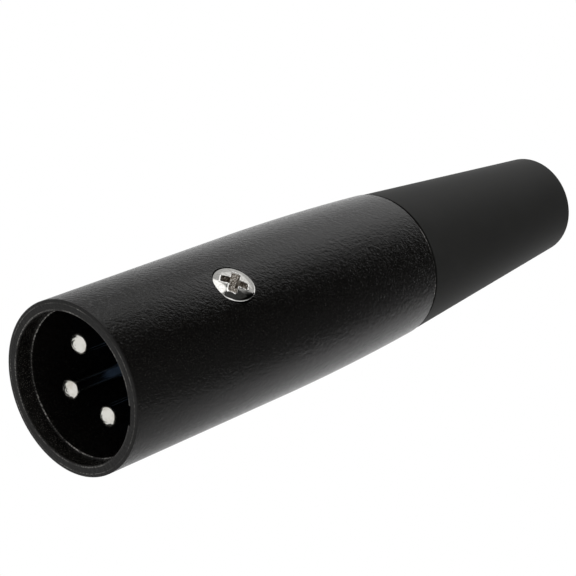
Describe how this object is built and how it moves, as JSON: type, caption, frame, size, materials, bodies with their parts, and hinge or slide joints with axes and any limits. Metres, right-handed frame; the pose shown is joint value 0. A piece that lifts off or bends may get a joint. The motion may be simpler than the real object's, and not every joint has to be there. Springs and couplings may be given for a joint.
{
  "type": "xlr plug",
  "caption": "Straight male cable plug for balanced audio: round metal shell round recessed contacts, side screw, cable clamp inside and a tapered moulded boot.",
  "frame": {"origin": "centre of the mouth rim, in the plane of the rim", "axes": "+Z along the plug's axis from the mouth to the boot, -Y towards the side screw"},
  "size_m": [0.019, 0.0194, 0.0824],
  "materials": {
    "shell_paint": "semi-gloss black stove enamel with a fine grain",
    "block_plastic": "moulded blue-grey thermoplastic",
    "contact_plate": "bright nickel plate on turned brass",
    "tag_brass": "rolled brass strip",
    "screw_chrome": "bright chrome plate on steel",
    "frame_steel": "zinc plated pressed sheet",
    "clamp_screw_steel": "zinc plated",
    "boot_plastic": "matt black moulded vinyl"
  },
  "bodies": {
    "root": {"shell": "shell_paint", "contact_block": "block_plastic", "contact_1": "contact_plate", "contact_2": "contact_plate", "contact_3": "contact_plate", "ground_tag": "tag_brass", "side_screw": "screw_chrome", "clamp_frame": "frame_steel", "clamp_saddle": "frame_steel", "clamp_screw_left": "clamp_screw_steel", "clamp_screw_right": "clamp_screw_steel", "boot": "boot_plastic"}
  },
  "joints": []
}
